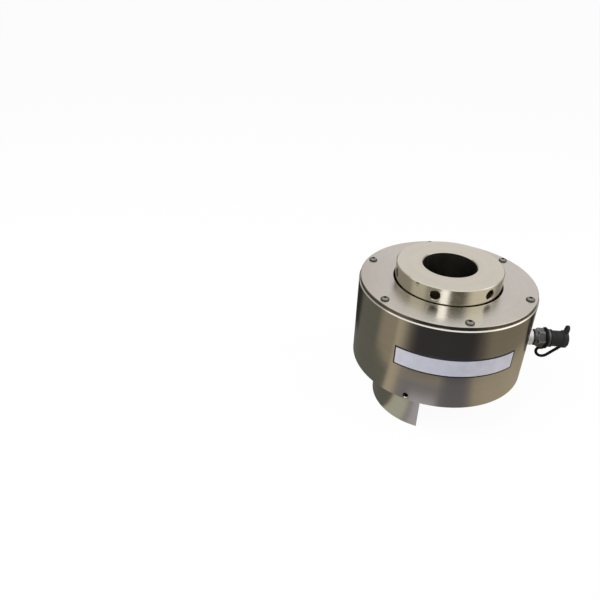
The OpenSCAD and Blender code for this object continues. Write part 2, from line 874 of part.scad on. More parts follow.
bridge();
cylinder_body();
cover_plate();
cover_screws();
bridge_set_screws();
piston();
upper_seal();
upper_backup_ring();
wear_ring();
tail_seal();
tail_backup_ring();
return_springs();
puller();
port_adaptor();
port_seal();
nipple_washer();
nipple();
poppet();
poppet_spring();
spring_retainer();
tether_ring();
tether();
dust_cap();
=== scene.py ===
"""Hydraulic bolt tensioner: finishes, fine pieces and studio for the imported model."""

import logging
import math
from dataclasses import dataclass
from enum import Enum
from typing import Any

import bpy
import numpy as np
from mathutils import Matrix


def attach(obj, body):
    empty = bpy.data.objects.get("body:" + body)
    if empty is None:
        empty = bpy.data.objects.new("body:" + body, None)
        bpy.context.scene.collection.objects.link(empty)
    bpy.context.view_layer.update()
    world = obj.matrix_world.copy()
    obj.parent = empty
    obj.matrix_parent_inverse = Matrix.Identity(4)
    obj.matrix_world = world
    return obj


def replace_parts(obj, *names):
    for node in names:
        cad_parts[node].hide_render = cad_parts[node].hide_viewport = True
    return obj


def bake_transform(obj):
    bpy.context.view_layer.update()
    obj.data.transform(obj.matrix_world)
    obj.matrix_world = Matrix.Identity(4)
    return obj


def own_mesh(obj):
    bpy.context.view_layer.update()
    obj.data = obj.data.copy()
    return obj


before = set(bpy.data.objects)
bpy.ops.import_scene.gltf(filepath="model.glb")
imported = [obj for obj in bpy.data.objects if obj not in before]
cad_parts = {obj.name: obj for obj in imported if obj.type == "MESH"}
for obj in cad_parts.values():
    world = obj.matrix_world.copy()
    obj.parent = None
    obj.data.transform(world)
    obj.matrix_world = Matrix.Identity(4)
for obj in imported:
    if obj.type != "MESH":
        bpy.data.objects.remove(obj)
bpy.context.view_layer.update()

log = logging.getLogger("tensioner")
Colour = tuple[float, float, float]
Point = tuple[float, float, float]
MM = 0.001
PORT_Z = 103.5 * MM
MEAN = 0.5  # middle value of lines and clouds


class Sock:
    """A shader socket that takes part in written-out maths."""

    def __init__(self, graph: "Graph", socket: bpy.types.NodeSocket) -> None:
        """Keeps the socket with the graph that it belongs to."""
        self.graph = graph
        self.socket = socket

    def maths(self, operation: str, *values: Any) -> "Sock":
        """Adds one Math node.

        Args:
            operation: name of the Math node's operation
            values: its inputs in order, sockets or numbers

        Returns:
            the node's result
        """
        return self.graph.node("ShaderNodeMath", {"operation": operation}, dict(enumerate(values)))

    def __add__(self, other: Any) -> "Sock":
        """Sum."""
        return self.maths("ADD", self, other)

    def __radd__(self, other: Any) -> "Sock":
        """Sum, with the number first."""
        return self.maths("ADD", other, self)

    def __sub__(self, other: Any) -> "Sock":
        """Difference."""
        return self.maths("SUBTRACT", self, other)

    def __rsub__(self, other: Any) -> "Sock":
        """Difference, with the number first."""
        return self.maths("SUBTRACT", other, self)

    def __mul__(self, other: Any) -> "Sock":
        """Product."""
        return self.maths("MULTIPLY", self, other)

    def __rmul__(self, other: Any) -> "Sock":
        """Product, with the number first."""
        return self.maths("MULTIPLY", other, self)

    def __truediv__(self, other: Any) -> "Sock":
        """Quotient."""
        return self.maths("DIVIDE", self, other)

    def __rtruediv__(self, other: Any) -> "Sock":
        """Quotient, with the number first."""
        return self.maths("DIVIDE", other, self)

    def __abs__(self) -> "Sock":
        """Size without sign."""
        return self.maths("ABSOLUTE", self)

    def length(self, other: "Sock") -> "Sock":
        """Length of the slanting side over self and other, which meet at a right angle."""
        return self.maths("SQRT", self * self + other * other)

    def turn(self, other: Any) -> "Sock":
        """Angle whose tangent is self over other, in radians."""
        return self.maths("ARCTAN2", self, other)

    def most(self, other: Any) -> "Sock":
        """The larger of the two."""
        return self.maths("MAXIMUM", self, other)

    def rise(self, start: float, end: float) -> "Sock":
        """Smooth step.

        Args:
            start: value at which the step is 0
            end: value at which it is 1, below start for a falling step

        Returns:
            the step
        """
        low, high = min(start, end), max(start, end)
        step = self.graph.node(
            "ShaderNodeMapRange",
            {"interpolation_type": "SMOOTHSTEP"},
            {"Value": self, "From Min": low, "From Max": high},
        )
        return step if start < end else 1 - step

    def spread(self) -> "Sock":
        """A noise's middle values, spread over 0 to 1."""
        return self.rise(0.3, 0.7)


class Graph:
    """Builds a node tree out of sockets and numbers."""

    def __init__(self, tree: bpy.types.NodeTree) -> None:
        """Empties the tree."""
        self.tree = tree
        tree.nodes.clear()

    def node(self, kind: str, settings: dict[str, Any] | None = None,
             sockets: dict[Any, Any] | None = None, out: int | str = 0) -> Sock:
        """Adds a node of any kind.

        Args:
            kind: Blender's name of the node's type
            settings: its properties, set first
            sockets: values or links by socket index, identifier or name
            out: which output is handed back

        Returns:
            the chosen output
        """
        made = self.tree.nodes.new(kind)
        for key, value in (settings or {}).items():
            setattr(made, key, value)
        for key, value in (sockets or {}).items():
            target = self.find(made.inputs, key)
            if isinstance(value, Sock):
                self.tree.links.new(value.socket, target)
            elif isinstance(value, tuple) and target.type == "RGBA":
                target.default_value = (*value[:3], 1.0)
            else:
                target.default_value = value
        return Sock(self, self.find(made.outputs, out) if len(made.outputs) else None)

    @staticmethod
    def find(sockets: Any, key: int | str) -> bpy.types.NodeSocket:
        """Finds a socket.

        Args:
            sockets: a node's inputs or outputs
            key: the socket's index, identifier or name

        Returns:
            the socket
        """
        if isinstance(key, int):
            return sockets[key]
        return next((s for s in sockets if s.identifier == key), None) or sockets[key]

    def point(self) -> Sock:
        """The point on the object, in metres, as a vector."""
        return self.node("ShaderNodeTexCoord", out="Object")

    def parts(self, vector: Sock) -> tuple[Sock, Sock, Sock]:
        """A vector's x, y and z."""
        split = self.node("ShaderNodeSeparateXYZ", sockets={0: vector}).socket.node
        return tuple(Sock(self, output) for output in split.outputs)

    def place(self) -> tuple[Sock, Sock, Sock]:
        """The point on the object, in metres, as x, y and z."""
        return self.parts(self.point())

    def lines(self, along: Sock, pitch: float, detail: float = 2.0, gain: float = 0.6) -> Sock:
        """Random fine lines across one coordinate.

        Args:
            along: coordinate that the lines lie across, in metres
            pitch: usual distance between lines, in metres
            detail: octaves of finer lines
            gain: how strong each octave is beside the one before

        Returns:
            a value about 0.5
        """
        return self.node("ShaderNodeTexNoise", {"noise_dimensions": "1D"},
                         {"W": along, "Scale": 1 / pitch, "Detail": detail, "Roughness": gain})

    def clouds(self, size: float, detail: float = 3.0, gain: float = 0.55) -> Sock:
        """Soft uneven patches.

        Args:
            size: usual size of a patch, in metres
            detail: octaves of finer patches
            gain: how strong each octave is beside the one before

        Returns:
            a value about 0.5
        """
        return self.node("ShaderNodeTexNoise", {"noise_dimensions": "3D"},
                         {"Vector": self.point(), "Scale": 1 / size, "Detail": detail,
                          "Roughness": gain})

    def fold(self, x: Sock, y: Sock, first_az: float, count: int) -> Sock:
        """Angle from the nearest of some evenly spaced directions.

        Args:
            x: first coordinate
            y: second coordinate
            first_az: one of the directions, in degrees
            count: number of directions round the circle

        Returns:
            the angle in radians, with its sign
        """
        sector = 2 * math.pi / count
        shifted = y.turn(x) - (math.radians(first_az) - sector / 2) + 4 * math.pi
        return shifted.maths("MODULO", shifted, sector) - sector / 2

    def mix(self, share: Sock, first: Any, second: Any) -> Sock:
        """Colour between two colours.

        Args:
            share: how much of the second there is
            first: colour where share is 0
            second: colour where share is 1

        Returns:
            the mixed colour
        """
        return self.node("ShaderNodeMix", {"data_type": "RGBA"},
                         {"Factor_Float": share, "A_Color": first, "B_Color": second},
                         "Result_Color")

    def bump(self, height: Sock, depth: float) -> Sock:
        """Normal of a surface raised by height times depth in metres."""
        return self.node("ShaderNodeBump", {},
                         {"Height": height, "Distance": depth, "Strength": 1.0})

    def surface(self, **sockets: Any) -> None:
        """Ends the tree in a Principled shader.

        Args:
            sockets: values or links by socket name, with its spaces written as _
        """
        named = {key.replace("_", " "): value for key, value in sockets.items()}
        shader = self.node("ShaderNodeBsdfPrincipled", {}, named)
        self.node("ShaderNodeOutputMaterial", {}, {"Surface": shader})


class Axis(Enum):
    """Axis that a part was turned about."""

    STUD = "stud"
    PORT = "port"


@dataclass(frozen=True)
class Finish:
    """What a surface is made of and how it was worked."""

    name: str
    tint: Colour

    def paint(self, graph: Graph) -> None:
        """Builds the finish in an empty tree."""
        raise NotImplementedError

    def shade(self, factor: float) -> Colour:
        """The tint made darker or lighter."""
        return tuple(min(1.0, channel * factor) for channel in self.tint)

    def material(self) -> bpy.types.Material:
        """Makes the Blender material, once per name.

        Returns:
            the material
        """
        own_name = f"{self.name}_finish"
        made = bpy.data.materials.get(own_name)
        if made is None:
            made = bpy.data.materials.new(own_name)
            made.use_nodes = True
            self.paint(Graph(made.node_tree))
        return made


@dataclass(frozen=True)
class TurnedMetal(Finish):
    """Metal from the lathe: fine lines round its axis, soft smudges, a few deeper tool marks."""

    axis: Axis = Axis.STUD
    rough: float = 0.17
    grain: float = 0.05
    pitch: float = 0.35 * MM
    groove: float = 0.002 * MM
    smudge: float = 0.06
    lay: float = 0.5
    lay_turn: float = 0.25
    bare: float = 1.0
    tool_marks: float = 1.0
    mark_gap: float = 2.2 * MM
    mark_depth: float = 0.6
    mark_rough: float = 0.015
    band: float = 9 * MM
    patch: float = 45 * MM
    darkest: float = 0.97
    palest: float = 1.02

    def around(self, graph: Graph) -> tuple[Sock, Sock]:
        """Distance along the turning axis and away from it.

        Args:
            graph: tree that the sockets belong to

        Returns:
            along and away, in metres
        """
        x, y, z = graph.place()
        if self.axis is Axis.STUD:
            return z, x.length(y)
        return x, y.length(z - PORT_Z)

    def worked(self, graph: Graph) -> tuple[Sock, Sock, Sock]:
        """The turned surface.

        Lines lie across along + away, so they run round walls and make rings on flat faces.

        Args:
            graph: tree that the sockets belong to

        Returns:
            colour, roughness and height, the last as a share of the groove's depth
        """
        along, away = self.around(graph)
        across = along + away
        fine = graph.lines(across, self.pitch)
        broad = graph.lines(across, self.band, 1.0)
        cloud = graph.clouds(self.patch)
        marks = graph.lines(across, self.mark_gap, 0.0).rise(0.68, 0.78) * self.tool_marks
        tone = (broad * 0.5 + cloud * 0.5).spread()
        base = graph.mix(tone, self.shade(self.darkest), self.shade(self.palest))
        rough = self.rough + (fine - MEAN) * self.grain + (cloud - MEAN) * self.smudge
        return base, rough + marks * self.mark_rough, fine - marks * self.mark_depth

    def cover(self, graph: Graph, base: Sock, rough: Sock, normal: Sock) -> None:
        """Ends the tree in a metal that blurs reflections most across the turning lines.

        Args:
            graph: tree to end
            base: colour
            rough: roughness
            normal: normal
        """
        lay = self.lay if self.axis is Axis.STUD else 0.0
        graph.surface(Base_Color=base, Metallic=self.bare, Roughness=rough, Normal=normal,
                      Anisotropic=lay, Anisotropic_Rotation=self.lay_turn)

    def paint(self, graph: Graph) -> None:
        """The turned surface all over."""
        base, rough, height = self.worked(graph)
        self.cover(graph, base, rough, graph.bump(height, self.groove))


@dataclass(frozen=True)
class EdgedMetal(TurnedMetal):
    """Turned metal whose upper edge was broken, its colour made lighter there as a painted
    highlight.
    """

    edge_from: float = 285.9 * MM
    edge_to: float = 286.05 * MM
    # lighter colour of the broken edge, a painted highlight
    highlight_gain: float = 1.25

    def paint(self, graph: Graph) -> None:
        """The broken edge is the cone on which height plus distance from the axis is largest.

        Args:
            graph: empty tree to build the finish in
        """
        base, rough, height = self.worked(graph)
        along, away = self.around(graph)
        edge = (along + away).rise(self.edge_from, self.edge_to)
        # painted highlight: the broken edge's colour made lighter
        base = graph.mix(edge, base, self.shade(self.highlight_gain))
        self.cover(graph, base, rough, graph.bump(height, self.groove))


@dataclass(frozen=True)
class RimmedMetal(TurnedMetal):
    """Turned plate whose outer wall and hole wall are painted darker, as painted shade."""

    rim_r: float = 108.5 * MM
    hole_r: float = 67 * MM
    # darkness of the painted shade on the outer wall and the hole's wall
    shade_level: float = 0.5
    shade_from: float = 0.15 * MM
    shade_to: float = 0.05 * MM
    hole_gain: float = 2.0

    def paint(self, graph: Graph) -> None:
        """Painted shade lies where the distance from the axis nears the plate's radius or its
        hole's.

        Args:
            graph: empty tree to build the finish in
        """
        base, rough, height = self.worked(graph)
        _, away = self.around(graph)
        # painted shade on the outer wall and, doubled, on the hole's wall beside the puller
        rim = away.rise(self.rim_r - self.shade_from, self.rim_r - self.shade_to)
        hole = away.rise(self.hole_r + self.shade_from, self.hole_r + self.shade_to)
        base = graph.mix(rim.most(hole * self.hole_gain), base, self.shade(self.shade_level))
        self.cover(graph, base, rough, graph.bump(height, self.groove))


@dataclass(frozen=True)
class BoredMetal(TurnedMetal):
    """Turned metal with painted shade in its stud bore and bar holes, which are rougher too.

    The holes' mouths are broken bright.
    """

    bore_r: float = 33.05 * MM
    head_r: float = 65.5 * MM
    hole_shade_r: float = 41.5 * MM
    hole_r: float = 6 * MM
    hole_z: float = 192.4 * MM
    hole_az: float = -51.5
    hole_count: int = 6
    mouth: float = 0.9 * MM
    shade_level: float = 0.32
    # colours of the painted shade inside the bar holes and at their ends
    hole_shade: Colour = (0.44, 0.36, 0.26)
    hole_end: float = 47.5 * MM
    hole_end_shade: Colour = (0.24, 0.195, 0.135)
    foot_z: float = 183 * MM
    oil_rough: float = 0.22
    soil_rough: float = 0.15

    def paint(self, graph: Graph) -> None:
        """Painted shade lies in the bore, on the head's foot and in the holes, darkest at their
        ends.

        A mouth falls away from the head's surface within its width of a hole, by the distance
        from the hole's axis.

        Args:
            graph: empty tree to build the finish in
        """
        base, rough, height = self.worked(graph)
        x, y, z = graph.place()
        away = x.length(y)
        sideways = graph.fold(x, y, self.hole_az, self.hole_count) * away
        reach = sideways.length(z - self.hole_z)
        inside = away.rise(self.head_r - 0.3 * MM, self.head_r - 0.7 * MM)
        hole = inside * away.rise(self.hole_shade_r, self.hole_shade_r + 1 * MM)
        hole = hole * reach.rise(self.hole_r + 0.4 * MM, self.hole_r + 0.2 * MM)
        bore = away.rise(self.bore_r + 0.3 * MM, self.bore_r)
        # where the painted shade lies, which is also made rougher
        painted_shade = hole.most(bore)
        broken = reach.rise(self.hole_r + self.mouth, self.hole_r - 0.3 * MM) * (1 - inside)
        relief = height * (1 - painted_shade) * (self.groove / self.mouth) - broken
        foot = z.rise(self.foot_z + 0.25 * MM, self.foot_z - 0.25 * MM)
        foot = foot * away.rise(self.head_r - 1 * MM, self.head_r)
        # painted shade in the bore and on the head's foot beside the plate
        base = graph.mix(bore.most(foot), base, self.shade(self.shade_level))
        # painted shade in the holes, darker at their ends
        end = hole * away.rise(self.hole_end + 2 * MM, self.hole_end + 1 * MM)
        base = graph.mix(end, graph.mix(hole, base, self.hole_shade), self.hole_end_shade)
        rough = rough + painted_shade * self.oil_rough + end * self.soil_rough
        self.cover(graph, base, rough, graph.bump(relief, self.mouth))


@dataclass(frozen=True)
class BlackenedSteel(TurnedMetal):
    """Dark oxide over turned steel, rubbed bright on the corners that hands and keys reach, with
    painted highlight and shade.
    """

    worn_from: float = 11.9 * MM
    worn_to: float = 12.7 * MM
    chamfer_x: float = 125.9 * MM
    chamfer_r: float = 10.8 * MM
    # colour of the corners' wear and of the painted highlight on the chamfer's edge
    wear_and_highlight: Colour = (0.42, 0.42, 0.41)
    sheen: float = 0.2

    def paint(self, graph: Graph) -> None:
        """Wear lies on the outer corners, a painted highlight on the chamfer's edge, painted shade
        on the chamfer and underneath.

        Args:
            graph: empty tree to build the finish in
        """
        along, away = self.around(graph)
        _, _, z = graph.place()
        fine = graph.lines(along + away, self.pitch)
        cloud = graph.clouds(4 * MM, 4.0)
        behind = along - self.chamfer_x - away + self.chamfer_r
        flats = away.rise(self.chamfer_r, self.chamfer_r + 0.1 * MM)
        # painted highlight along the chamfer's edge, joined below with the real wear on the outer
        # corners
        edge = behind.rise(0.1 * MM, 0.2 * MM) * behind.rise(1.3 * MM, 0.5 * MM) * flats
        wear_and_highlight = (away.rise(self.worn_from, self.worn_to) * cloud.spread()).most(edge * 0.8)
        # painted shade along the chamfer, and darker towards the bottom below the port's axis
        shoulder = abs(behind).rise(0.15 * MM, 0.08 * MM) * flats
        painted_shade = (shoulder * 0.8).most((z - PORT_Z).rise(0.0, -7 * MM) * 0.6)
        oxide = graph.mix(cloud.rise(0.3, 0.75), self.shade(0.8), self.shade(1.3))
        base = graph.mix(painted_shade, graph.mix(wear_and_highlight, oxide, self.wear_and_highlight), self.shade(0.15))
        rough = self.rough + (fine - MEAN) * self.grain + (cloud - MEAN) * self.smudge - wear_and_highlight * 0.1
        graph.surface(Base_Color=base, Metallic=self.bare, Roughness=rough,
                      Specular_IOR_Level=self.sheen, Normal=graph.bump(fine, self.groove))


@dataclass(frozen=True)
class Rubber(Finish):
    """Moulded rubber: matt, finely grained, with a faint bloom and the mould's parting line."""

    rough: float = 0.58
    bloom: Colour = (0.034, 0.034, 0.035)
    sheen: float = 0.12
    seam_h: float = 0.06 * MM

    def paint(self, graph: Graph) -> None:
        """The parting line is a low ridge where y is 0; bloom lies in soft patches.

        Args:
            graph: empty tree to build the finish in
        """
        _, y, _ = graph.place()
        grain = graph.clouds(0.5 * MM, 2.0)
        cloud = graph.clouds(7 * MM)
        seam = abs(y).rise(0.22 * MM, 0.05 * MM)
        base = graph.mix(cloud.rise(0.42, 0.8), self.tint, self.bloom)
        rough = self.rough + (cloud - MEAN) * 0.18 + (grain - MEAN) * 0.1
        normal = graph.bump(grain * 0.35 + seam, self.seam_h)
        graph.surface(Base_Color=base, Roughness=rough, Normal=normal,
                      Specular_IOR_Level=self.sheen)


@dataclass(frozen=True)
class SealRing(Finish):
    """Seal or guide ring, cut on the lathe from a moulded tube, with fine tool lines and oil."""

    rough: float = 0.4
    oil: float = 0.25

    def paint(self, graph: Graph) -> None:
        """Tool lines lie across height + radius; oil gathers in patches.

        Args:
            graph: empty tree to build the finish in
        """
        x, y, z = graph.place()
        lines = graph.lines(z + x.length(y), 0.3 * MM)
        cloud = graph.clouds(12 * MM)
        base = graph.mix(cloud.spread(), self.shade(0.85), self.shade(1.15))
        wet = cloud.rise(0.45, 0.65)
        rough = self.rough + (lines - MEAN) * 0.12 - wet * 0.12
        graph.surface(Base_Color=base, Roughness=rough, Coat_Weight=wet * self.oil,
                      Coat_Roughness=0.12, Normal=graph.bump(lines, 0.01 * MM))


@dataclass(frozen=True)
class SpringWire(Finish):
    """Drawn and hardened wire, with a fine grain and a thin straw to blue temper colour."""

    temper: Colour = (0.16, 0.15, 0.17)
    rough: float = 0.3

    def paint(self, graph: Graph) -> None:
        """Temper colour drifts in patches over a fine grain.

        Args:
            graph: empty tree to build the finish in
        """
        cloud = graph.clouds(6 * MM)
        grain = graph.clouds(0.35 * MM, 2.0)
        base = graph.mix(cloud.rise(0.35, 0.65), self.tint, self.temper)
        rough = self.rough + (grain - MEAN) * 0.16
        graph.surface(Base_Color=base, Metallic=1.0, Roughness=rough,
                      Normal=graph.bump(grain, 0.01 * MM))


@dataclass(frozen=True)
class PressedScrew(Finish):
    """Stainless screw: a tumbled satin dome, with painted shade in the key socket and round the
    rim.
    """

    rough: float = 0.3
    socket_r: float = 2.2 * MM
    rim_r: float = 4.55 * MM
    circle_r: float = 100 * MM
    first_az: float = -83.3
    count: int = 6

    def paint(self, graph: Graph) -> None:
        """Painted shade lies by distance from the screw's centre, found by folding azimuths into
        one sector.

        Args:
            graph: empty tree to build the finish in
        """
        x, y, _ = graph.place()
        sideways = graph.fold(x, y, self.first_az, self.count) * self.circle_r
        reach = sideways.length(x.length(y) - self.circle_r)
        grain = graph.clouds(0.4 * MM, 2.0)
        cloud = graph.clouds(3 * MM)
        # painted shade round the dome's rim and in the key socket
        edge = reach.rise(self.rim_r - 0.5 * MM, self.rim_r + 0.4 * MM)
        socket_rim_shade = reach.rise(self.socket_r * 1.1, self.socket_r * 0.85).most(edge * 0.8)
        bright = graph.mix(cloud.spread(), self.shade(0.9), self.shade(1.06))
        base = graph.mix(socket_rim_shade * 0.9, bright, self.shade(0.1))
        rough = self.rough + (grain - MEAN) * 0.12 + socket_rim_shade * 0.15
        graph.surface(Base_Color=base, Metallic=1.0, Roughness=rough,
                      Normal=graph.bump(grain, 0.008 * MM))


@dataclass(frozen=True)
class BarePlate(Finish):
    """Blank plate: brushed, faintly lilac metal foil with a dark printed edge line."""

    half_length: float = 75 * MM
    half_height: float = 12.75 * MM
    edge: float = 1.9 * MM
    ink: Colour = (0.012, 0.012, 0.016)
    rough: float = 0.42
    bare: float = 0.45

    def paint(self, graph: Graph) -> None:
        """The edge line is where the plate's nearest side is closer than the line's width.

        Args:
            graph: empty tree to build the finish in
        """
        spot = graph.node("ShaderNodeAttribute", {"attribute_name": "plate_spot"}, out="Vector")
        along, across, _ = graph.parts(spot)
        inside = (abs(along) - self.half_length).most(abs(across) - self.half_height)
        line = inside.rise(-self.edge - 0.1 * MM, -self.edge + 0.1 * MM)
        brushed = graph.lines(across, 0.12 * MM)
        cloud = graph.clouds(16 * MM)
        tone = (brushed * 0.4 + cloud * 0.6).spread()
        foil = graph.mix(tone, self.shade(0.92), self.shade(1.06))
        base = graph.mix(line, foil, self.ink)
        rough = self.rough + (brushed - MEAN) * 0.14 + (cloud - MEAN) * 0.1
        graph.surface(Base_Color=base, Metallic=self.bare * (1 - line), Roughness=rough,
                      Normal=graph.bump(brushed, 0.003 * MM))


class Rings:
    """Closed mesh made of rings of points, each joined to the next and the two ends capped."""

    def __init__(self, points: np.ndarray) -> None:
        """Keeps an array of pieces by rings by corners by three, in metres."""
        self.points = points if points.ndim == 4 else points[None]

    def faces(self) -> list[list[int]]:
        """Quads between neighbouring rings and a face on each end, turned out by signed volume.

        Returns:
            corner indices of every face
        """
        pieces, rows, cols = self.points.shape[:3]
        counts = (pieces, rows - 1, cols)
        piece, row, col = np.meshgrid(*(np.arange(n) for n in counts), indexing="ij")
        start = (piece * rows + row) * cols
        after = (col + 1) % cols
        quads = np.stack([start + col, start + after, start + cols + after, start + cols + col], -1)
        quads = quads.reshape(-1, 4)
        first = (np.arange(pieces) * rows * cols)[:, None] + np.arange(cols)[::-1]
        last = (np.arange(pieces) * rows * cols + (rows - 1) * cols)[:, None] + np.arange(cols)
        flat = self.points.reshape(-1, 3)
        a, b, c, d = (flat[quads[:, i]] for i in range(4))
        volume = np.sum(a * np.cross(b, c)) + np.sum(a * np.cross(c, d))
        faces = quads.tolist() + first.tolist() + last.tolist()
        return faces if volume > 0 else [face[::-1] for face in faces]

    def piece(self, name: str, body: str, finish: Finish, slot: str,
              sharp: float = 40.0) -> bpy.types.Object:
        """Makes the object at the origin and lets it ride on a body.

        Args:
            name: the piece's name
            body: body that it rides on, or "" for a piece that rides on none
            finish: its finish
            slot: not used
            sharp: edges over this angle in degrees stay sharp

        Returns:
            the new object
        """
        mesh = bpy.data.meshes.new(name)
        mesh.from_pydata(self.points.reshape(-1, 3).tolist(), [], self.faces())
        mesh.polygons.foreach_set("use_smooth", np.ones(len(mesh.polygons), bool))
        mesh.set_sharp_from_angle(angle=math.radians(sharp))
        mesh.update()
        made = bpy.data.objects.new(name, mesh)
        bpy.context.scene.collection.objects.link(made)
        mesh.materials.append(finish.material())
        if body:
            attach(made, body)
        log.info("piece %s: %d faces", name, len(mesh.polygons))
        return made


def dress(finish: Finish, *nodes: str) -> None:
    """Gives carried-over parts their finish.

    Args:
        finish: the finish
        nodes: names of the parts
    """
    for name in nodes:
        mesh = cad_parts[name].data
        mesh.materials.clear()
        mesh.materials.append(finish.material())
        log.info("part %s: %s", name, finish.name)


def coil(radius: float, wire: float, length: float, turns: int,
         per_turn: int = 28, sides: int = 12) -> np.ndarray:
    """Compression spring about z from 0, with closed and ground ends.

    The wire's middle goes round at the coil's radius; its height rises by less than a wire in the
    first and last turn and evenly between them. The ends are ground flat by clipping the heights
    to the length.

    Args:
        radius: radius of the wire's middle
        wire: wire diameter
        length: length between the ground ends
        turns: turns, the closed ones included
        per_turn: rings in a turn
        sides: corners of a ring

    Returns:
        rings by corners by three
    """
    turn = np.linspace(0, turns, turns * per_turn + 1)
    seated, closed = 0.4 * wire, 1.25 * wire
    middle = np.interp(turn, [0, 1, turns - 1, turns],
                       [seated, closed, length - closed, length - seated])
    angle = 2 * np.pi * turn[:, None]
    corner = 2 * np.pi * np.arange(sides)[None] / sides
    reach = radius + wire / 2 * np.cos(corner) + 0 * angle
    height = np.clip(middle[:, None] + wire / 2 * np.sin(corner), 0, length)
    return np.stack([reach * np.cos(angle), reach * np.sin(angle), height], -1)


@dataclass
class Housing:
    """Bridge, cylinder, cover plate and their screws, and the bare plate on the cylinder's side."""

    body_r: float = 110 * MM
    plate_az: float = -87.2
    plate_low: float = 113 * MM
    plate_high: float = 138.5 * MM
    plate_span: float = 78.1
    plate_thick: float = 0.4 * MM
    plate_edge: float = 0.15 * MM
    plate_rings: int = 120
    steel: EdgedMetal = EdgedMetal("turned_stainless", (0.66, 0.63, 0.58), rough=0.12, smudge=0.05)
    foot: TurnedMetal = TurnedMetal("turned_bridge", (0.62, 0.60, 0.55), rough=0.2)
    satin: RimmedMetal = RimmedMetal("satin_plate", (0.59, 0.565, 0.493), rough=0.27, grain=0.02,
                                     pitch=0.5 * MM, groove=0.0002 * MM, lay=0.6, tool_marks=0.3)
    screws: PressedScrew = PressedScrew("screw_steel", (0.29, 0.28, 0.255))
    set_steel: SpringWire = SpringWire("set_screw_steel", (0.10, 0.10, 0.10),
                                       temper=(0.05, 0.05, 0.055), rough=0.4)

    def bare_plate(self) -> bpy.types.Object:
        """Thin plate bent round the cylinder.

        A chamfered rectangle in height and thickness is carried along the azimuth at the cylinder's
        radius; the two end rings are lower, so that the short edges are chamfered too.

        Returns:
            the plate
        """
        middle = (self.plate_low + self.plate_high) / 2
        half = (self.plate_high - self.plate_low) / 2
        reach = math.radians(self.plate_span) / 2 * self.body_r
        edge, top = self.plate_edge, self.plate_thick
        across = np.array([-half, -half, -half + edge, half - edge, half, half])
        raised = np.array([0, top - edge, top, top, top - edge, 0])
        inner = np.linspace(-reach + edge, reach - edge, self.plate_rings)
        along = np.concatenate([[-reach], inner, [reach]])
        limit = np.full(len(along), top)
        limit[[0, -1]] = top - edge
        radius = self.body_r + np.minimum(raised[None], limit[:, None])
        azimuth = math.radians(self.plate_az) + along[:, None] / self.body_r
        height = np.broadcast_to(middle + across, radius.shape)
        points = np.stack([radius * np.cos(azimuth), radius * np.sin(azimuth), height], -1)
        finish = BarePlate("bare_plate_foil", (0.76, 0.77, 0.89),
                           half_length=reach, half_height=half)
        plate = Rings(points).piece("bare_plate", "cylinder", finish, "satin_stainless", 30)
        spot = np.zeros((len(along), len(across), 3), np.float32)
        spot[..., 0] = along[:, None]
        spot[..., 1] = across[None]
        attribute = plate.data.attributes.new("plate_spot", "FLOAT_VECTOR", "POINT")
        attribute.data.foreach_set("vector", spot.ravel())
        return plate

    def build(self) -> None:
        """Makes the bare plate and dresses the housing's parts."""
        self.bare_plate()
        dress(self.steel, "cylinder_body")
        dress(self.foot, "bridge")
        dress(self.satin, "cover_plate")
        dress(self.screws, "cover_screws")
        dress(self.set_steel, "bridge_set_screws")


@dataclass
class Ram:
    """Piston with its seals, and the springs that push it back."""

    spring_circle: float = 77.5 * MM
    first_az: float = -83.3
    count: int = 6
    wire: float = 1.6 * MM
    outside: float = 11 * MM
    low: float = 136.8 * MM
    high: float = 177.1 * MM
    turns: int = 7
    top: float = 177.2 * MM
    travel: float = 10 * MM
    ground: TurnedMetal = TurnedMetal("ground_steel", (0.62, 0.61, 0.59), rough=0.14,
                                      pitch=0.2 * MM)
    wire_steel: SpringWire = SpringWire("spring_steel", (0.30, 0.27, 0.22))
    seal: SealRing = SealRing("seal_rubber", (0.035, 0.085, 0.055))
    backup: SealRing = SealRing("ring_plastic", (0.72, 0.69, 0.60), rough=0.35, oil=0.15)
    wear: SealRing = SealRing("wear_bronze", (0.33, 0.20, 0.08), rough=0.45, oil=0.3)

    def springs(self) -> bpy.types.Object:
        """Six equal coils, moved out to the spring circle and turned to their places.

        Returns:
            the springs, as one piece
        """
        one = coil((self.outside - self.wire) / 2, self.wire, self.high - self.low, self.turns)
        azimuth = np.radians(self.first_az + np.arange(self.count) * 360 / self.count)
        azimuth = azimuth[:, None, None]
        x, y, z = one[..., 0] + self.spring_circle, one[..., 1], one[..., 2] + self.low
        points = np.stack([x * np.cos(azimuth) - y * np.sin(azimuth),
                           x * np.sin(azimuth) + y * np.cos(azimuth),
                           np.broadcast_to(z, (self.count, *z.shape))], -1)
        made = Rings(points).piece("return_spring_coils", "cylinder",
                                   self.wire_steel, "spring_steel")
        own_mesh(made)
        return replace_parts(made, "return_springs")

    def build(self) -> None:
        """Makes the springs and dresses the ram's parts."""
        self.springs()
        dress(self.ground, "piston")
        dress(self.seal, "upper_seal", "tail_seal")
        dress(self.backup, "upper_backup_ring", "tail_backup_ring")
        dress(self.wear, "wear_ring")


